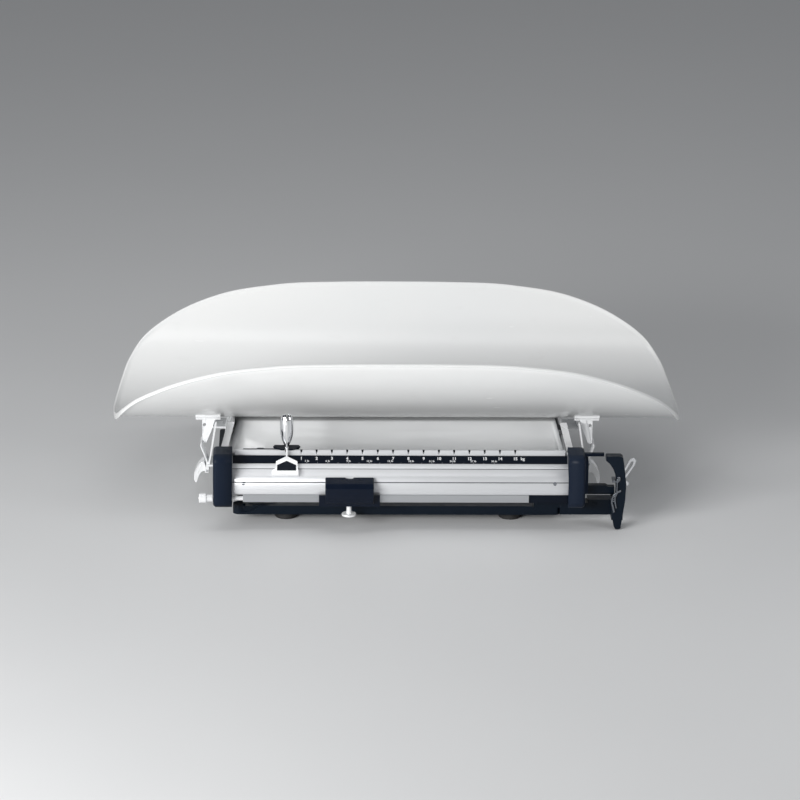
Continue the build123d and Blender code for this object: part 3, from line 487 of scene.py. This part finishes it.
def build_tray():
    N = 384
    rim = []
    for k in range(N):
        th = 2 * math.pi * k / N
        f = rim_factor(math.degrees(th))
        rim.append(Vector((L * f * math.cos(th), R * math.asin(W * f * math.sin(th) / R))))
    out = []
    for k in range(N):
        t = (rim[(k + 1) % N] - rim[k - 1]).normalized()
        out.append(Vector((t.y, -t.x)))
    bm = bmesh.new()

    def loop(d, n_of):
        pts = []
        for k in range(N):
            p = rim[k] + out[k] * d
            pts.append(on_trough(p.x, p.y, n_of(k) if callable(n_of) else n_of))
        return pts

    def deep(k):
        # the lip hangs further down at the ends than along the sides
        c = abs(math.cos(2 * math.pi * k / N))
        s = max(0.0, min(1.0, (c - 0.80) / 0.18))
        s = s * s * (3 - 2 * s)
        return 3.7 + s * 2.1

    def wide(k):
        c = abs(math.cos(2 * math.pi * k / N))
        s = max(0.0, min(1.0, (c - 0.80) / 0.18))
        return 0.15 + 1.0 * s * s * (3 - 2 * s)

    def lip(d, n, drop):
        # drop 0..1 stretches the outer, hanging part
        def place(k):
            p = rim[k] + out[k] * (d + (wide(k) if d > 0 else wide(k) * max(0.0, (d + 3.0) / 3.0)))
            return on_trough(p.x, p.y, n - drop * (deep(k) - 2.6))
        return [place(k) for k in range(N)]

    inset = 4.5
    rows = []
    S = [0.0, 0.04, 0.09, 0.15, 0.22, 0.29, 0.36, 0.43, 0.50, 0.57, 0.63, 0.69, 0.75, 0.80, 0.85, 0.89, 0.93, 0.96, 0.985, 1.0]
    edge_in = [rim[k] - out[k] * inset for k in range(N)]
    for s in S:
        row = []
        for k in range(N):
            p = edge_in[k]
            q = Vector((0.62 * p.x, 0.0))
            m = q.lerp(p, s)
            row.append(on_trough(m.x, m.y, 0.0))
        rows.append(row)
    profile = [(-3.4, 0.02, 0), (-2.5, 0.10, 0), (-1.7, 0.28, 0), (-0.9, 0.56, 0), (-0.2, 0.76, 0), (0.45, 0.80, 0), (1.0, 0.62, 0), (1.40, 0.25, 0),
               (1.62, -0.25, 0.05), (1.70, -0.85, 0.2), (1.66, -1.5, 0.45), (1.50, -2.1, 0.75), (1.20, -2.5, 0.95), (0.75, -2.62, 1.0), (0.30, -2.45, 0.96),
               (0.02, -2.05, 0.80), (-0.10, -1.75, 0.45), (-0.35, -1.85, 0.12), (-0.9, -2.15, 0.0), (-1.7, -2.42, 0), (-2.8, -2.56, 0)]
    for d, n, drop in profile:
        rows.append(lip(d, n, drop))
    for s in reversed(S):
        row = []
        for k in range(N):
            p = edge_in[k]
            q = Vector((0.62 * p.x, 0.0))
            m = q.lerp(p, s)
            row.append(on_trough(m.x, m.y, -T))
        rows.append(row)
    loft_rings(bm, rows, cap_start=False, cap_end=False)
    bmesh.ops.remove_doubles(bm, verts=bm.verts, dist=2e-6)
    bmesh.ops.recalc_face_normals(bm, faces=bm.faces)
    return finish_mesh("tray_trough", bm, "tray", "tray_white", nodes=("tray_shell",))


tray = build_tray()

# ------------------------------------------------------------- beam profile
def arc_points(a, b, sag, n=5):
    """Points on a shallow arc from a to b, bulging by sag to the left of the direction of travel."""
    a, b = Vector(a), Vector(b)
    d = b - a
    nrm = Vector((-d.y, d.x)).normalized()
    return [tuple(a.lerp(b, t / n) + nrm * (sag * 4 * (t / n) * (1 - t / n))) for t in range(n + 1)]


front = ([(-131.6, 68.2), (-137.6, 62.2), (-138.3, 61.85)] + arc_points((-138.3, 61.85), (-143.0, 59.35), -0.25, 4)[1:]
         + [(-143.2, 59.2), (-142.85, 58.85), (-142.95, 58.55), (-143.45, 58.55)] + arc_points((-143.45, 58.55), (-149.0, 53.6), 0.22, 6)[1:]
         + arc_points((-149.0, 53.6), (-151.5, 49.1), -0.30, 5)[1:]
         + [(-151.62, 48.75), (-151.45, 48.45), (-150.75, 48.25), (-150.7, 47.85), (-151.4, 47.55), (-151.75, 47.3), (-151.95, 46.8), (-152.12, 44.2), (-152.1, 41.40),
            (-151.80, 41.2), (-151.80, 40.95), (-152.08, 40.75), (-151.9, 38.4), (-151.55, 36.7), (-150.95, 35.6), (-150.2, 35.2)])
outline = ([(-124.0, 36.0), (-124.0, 70.7), (-124.3, 71.0), (-128.3, 71.0), (-128.6, 70.7), (-128.6, 61.0), (-131.0, 61.0)] + front
           + [(-126.0, 35.2), (-124.4, 35.4)])
hollow = [(-127.0, 39.5), (-127.0, 57.5), (-134.0, 57.5), (-140.5, 55.5), (-146.5, 49.5), (-148.4, 44.0), (-148.4, 39.5)]
beam = bar_x("beam_extrusion", outline, -159.5, 161.7, "beam", "beam_aluminium", edge=0.25, hole=hollow,
             nodes=("beam_profile",), steps=2)
harden(beam, 28)
# painted shade: dark strips in the bottoms of the two drawn grooves stand in for the shadow in them
bar_x("beam_groove_shade_upper", [(-143.12, 59.02), (-142.87, 58.84), (-142.96, 58.58), (-143.30, 58.58)], -159.3, 161.5, "beam",
      "groove_painted_shade", edge=0.05, steps=1)
bar_x("beam_groove_shade_lower", [(-151.42, 48.42), (-150.76, 48.24), (-150.71, 47.86), (-151.34, 47.58)], -159.3, 161.5, "beam",
      "groove_painted_shade", edge=0.05, steps=1)

# ------------------------------------------------------ figures on the strip
SQ = math.sqrt(0.5)


def on_strip(x, d, n=0.05):
    """Point on the numeral strip, d mm down from its top edge, n mm off its face."""
    return v3(x, -131.954 - d * SQ - n * SQ, 68.554 - d * SQ + n * SQ)


def text_faces(bm, text, height, x, d, bold=0.03, squeeze=1.0):
    cu = bpy.data.curves.new("figure", "FONT")
    cu.body = text
    cu.size = 1.0
    cu.offset = bold
    cu.align_x = "CENTER"
    cu.resolution_u = 3
    tmp = bpy.data.objects.new("figure", cu)
    scene.collection.objects.link(tmp)
    dep = bpy.context.evaluated_depsgraph_get()
    me = tmp.evaluated_get(dep).to_mesh()
    k = height / 0.69
    verts = [bm.verts.new(on_strip(x + v.co.x * k * squeeze, d - v.co.y * k)) for v in me.vertices]
    for p in me.polygons:
        try:
            bm.faces.new([verts[i] for i in p.vertices])
        except ValueError:
            pass
    tmp.evaluated_get(dep).to_mesh_clear()
    bpy.data.objects.remove(tmp)
    bpy.data.curves.remove(cu)


def strip_mark(bm, x, d0, d1, w):
    bm.faces.new([bm.verts.new(on_strip(a, b)) for a, b in ((x - w / 2, d1), (x + w / 2, d1), (x + w / 2, d0), (x - w / 2, d0))])


def build_figures():
    bm = bmesh.new()
    zero, pitch = -108.0, 14.62
    for i in range(16):
        text_faces(bm, str(i), 2.9, zero + i * pitch, 4.55, 0.035)
    text_faces(bm, "kg", 2.9, zero + 15 * pitch + 7.0, 4.55, 0.03)
    step = pitch * 0.45359
    for k in range(1, 11):
        text_faces(bm, "%d lb" % (3 * k), 1.75, zero + 3 * k * step, 6.75, 0.02, 1.1)
        strip_mark(bm, zero + 3 * k * step, 7.35, 8.3, 0.32)
        strip_mark(bm, zero + (3 * k - 1.5) * step, 7.75, 8.3, 0.28)
    return finish_mesh("scale_figures", bm, "beam", "ink_white", smooth=False)


build_figures()


def build_backing():
    """Painted shade: a black sheet on the back of the notched bar stands in for the shadow behind the notches, so that
    they read dark.
    """
    bm = bmesh.new()
    pts = rounded([(-156.6, 61.4), (158.8, 61.4), (158.8, 73.3), (-156.6, 73.3)], 0.8, 4)
    rings = [[v3(x, y, z) for x, z in pts] for y in (-128.59, -128.45)]
    loft_rings(bm, rings)
    bmesh.ops.recalc_face_normals(bm, faces=bm.faces)
    return finish_mesh("notch_painted_shade", bm, "beam", "scale_black", smooth=False)


# black sheet of painted shade behind the notches of the bar
build_backing()

# --------------------------------------------- nodes that keep their own mesh
SLOT_OF = {s["node"]: s["material_slot"] for s in frame["record"]["subparts"]}
ROUND = {
    "base_frame": 0.8, "rubber_feet": 0.4, "foot_screws": 0.2, "cover": 0.0, "cover_clips": 0.3, "cover_clip_screws": 0.2,
    "fulcrum_stand": 0.5, "fulcrum_bearing": 0.25, "end_guide": 0.8, "guide_screws": 0.15, "index_stop_plate": 0.3,
    "arrest_pivot_screw": 0.25, "lever_stands": 0.4, "lever_bearings": 0.25, "pivot_plate": 0.35, "pivot_plate_screws": 0.2,
    "fulcrum_knife": 0.12, "load_knife": 0.12, "notch_bar": 0.15, "beam_screws": 0.12, "beam_cap_left": 0.0, "beam_cap_right": 0.0,
    "tongue": 0.5, "beam_rail": 0.4, "rail_block_right": 0.5, "zero_screw": 0.25, "main_poise_carriage": 0.3, "main_poise_weight": 0.0,
    "main_poise_pointer": 0.25, "main_poise_inlay": 0.1, "main_poise_grip": 0.3, "main_poise_knife": 0.15, "fine_poise_slider": 0.4,
    "fine_poise_body": 0.4, "fine_poise_thumb_screw": 0.25, "arrest_lever": 0.3, "main_lever": 0.5, "main_lever_fulcrum_knives": 0.12,
    "main_lever_load_knives": 0.12, "short_lever": 0.5, "short_lever_fulcrum_knives": 0.12, "short_lever_load_knives": 0.12,
    "lever_shackle": 0.4, "load_link": 0.4, "carrier_frame": 0.5, "carrier_saddles": 0.3, "side_bracket_left": 0.3,
    "side_bracket_right": 0.3, "clamp_lugs_left": 0.25, "clamp_lugs_right": 0.25, "clamp_pin_left": 0.15, "clamp_pin_right": 0.15,
    "clamp_lever_left": 0.4, "clamp_lever_right": 0.4, "tray_hangers": 0.3, "scale_strip": 0.1, "beam_profile": 0.3,
}
REPLACED = {"tray_shell", "beam_profile"}
LOOK = {n: "satin_plate" for n in ("side_bracket_left", "side_bracket_right", "clamp_lever_left", "clamp_lever_right", "clamp_lugs_left",
                                   "clamp_lugs_right", "tray_hangers", "zero_screw", "fine_poise_thumb_screw", "main_poise_pointer")}
LOOK["index_stop_plate"] = "spring_steel"
LOOK["beam_screws"] = "spring_steel"
LOOK["beam_rail"] = "rail_aluminium"
for node in NODES:
    if node not in REPLACED:
        dress(node, LOOK.get(node, SLOT_OF[node]), ROUND.get(node, 0.3))
